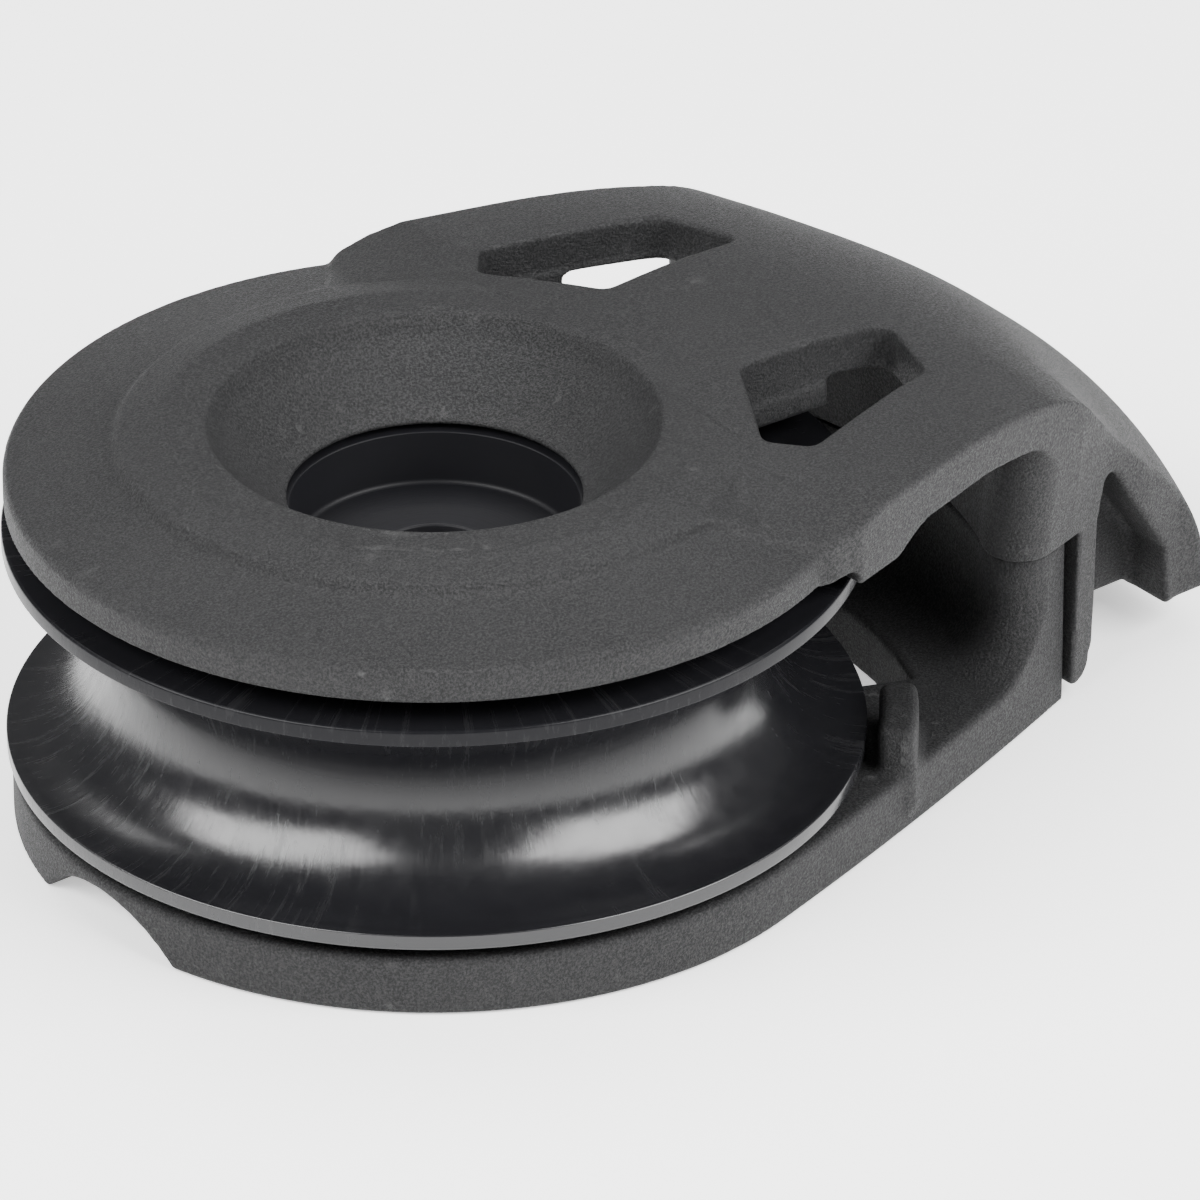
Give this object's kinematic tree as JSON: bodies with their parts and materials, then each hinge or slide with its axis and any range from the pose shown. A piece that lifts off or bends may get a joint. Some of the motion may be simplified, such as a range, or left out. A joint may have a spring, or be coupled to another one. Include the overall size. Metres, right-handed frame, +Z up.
{
  "type": "single sheave block",
  "caption": "Single ball-bearing sheave block with two moulded cheeks, an open hub cup, two window openings and a bent-down head; a rope runs in the wheel's round groove.",
  "frame": {"origin": "centre of the whole object's footprint, on the flat underside of the lower cheek", "axes": "+Z up along the sheave's axis, +X towards the head, +Y to the left as seen from the tail"},
  "size_m": [0.0603, 0.04, 0.0201],
  "materials": {
    "grained_moulding": "fine grained charcoal moulding",
    "gloss_moulding": "smooth glossy black moulding",
    "acetal": "smooth black bearing plastic",
    "ball_acetal": "smooth white bearing plastic",
    "stainless_steel": "plain stainless steel"
  },
  "bodies": {
    "housing": {"upper_cheek": "grained_moulding", "lower_cheek": "grained_moulding", "hub_core": "gloss_moulding", "inner_race": "acetal", "thread_insert": "stainless_steel", "hub_screw_1": "stainless_steel", "hub_screw_2": "stainless_steel", "hub_screw_3": "stainless_steel", "head_screw_left": "stainless_steel", "head_screw_right": "stainless_steel"},
    "wheel": {"sheave": "gloss_moulding", "ball_spacer": "acetal", "upper_race_ring": "acetal", "lower_race_ring": "acetal"},
    "upper_balls": {"upper_ball_01": "ball_acetal", "upper_ball_02": "ball_acetal", "upper_ball_03": "ball_acetal", "upper_ball_04": "ball_acetal", "upper_ball_05": "ball_acetal", "upper_ball_06": "ball_acetal", "upper_ball_07": "ball_acetal", "upper_ball_08": "ball_acetal", "upper_ball_09": "ball_acetal", "upper_ball_10": "ball_acetal", "upper_ball_11": "ball_acetal", "upper_ball_12": "ball_acetal", "upper_ball_13": "ball_acetal", "upper_ball_14": "ball_acetal", "upper_ball_15": "ball_acetal", "upper_ball_16": "ball_acetal"},
    "lower_balls": {"lower_ball_01": "ball_acetal", "lower_ball_02": "ball_acetal", "lower_ball_03": "ball_acetal", "lower_ball_04": "ball_acetal", "lower_ball_05": "ball_acetal", "lower_ball_06": "ball_acetal", "lower_ball_07": "ball_acetal", "lower_ball_08": "ball_acetal", "lower_ball_09": "ball_acetal", "lower_ball_10": "ball_acetal", "lower_ball_11": "ball_acetal", "lower_ball_12": "ball_acetal", "lower_ball_13": "ball_acetal", "lower_ball_14": "ball_acetal", "lower_ball_15": "ball_acetal", "lower_ball_16": "ball_acetal"}
  },
  "joints": [
    {"name": "sheave_spin", "type": "hinge", "parent": "housing", "child": "wheel", "pos_m": [-0.01015, 0, 0.00923], "axis": [0, 0, 1], "continuous": true},
    {"name": "upper_ball_orbit", "type": "hinge", "parent": "housing", "child": "upper_balls", "pos_m": [-0.01015, 0, 0.0121], "axis": [0, 0, 1], "continuous": true},
    {"name": "lower_ball_orbit", "type": "hinge", "parent": "housing", "child": "lower_balls", "pos_m": [-0.01015, 0, 0.00635], "axis": [0, 0, 1], "continuous": true}
  ],
  "couplings": [
    {"joint": "upper_ball_orbit", "follows": "sheave_spin", "ratio": 0.5972},
    {"joint": "lower_ball_orbit", "follows": "sheave_spin", "ratio": 0.5972}
  ]
}
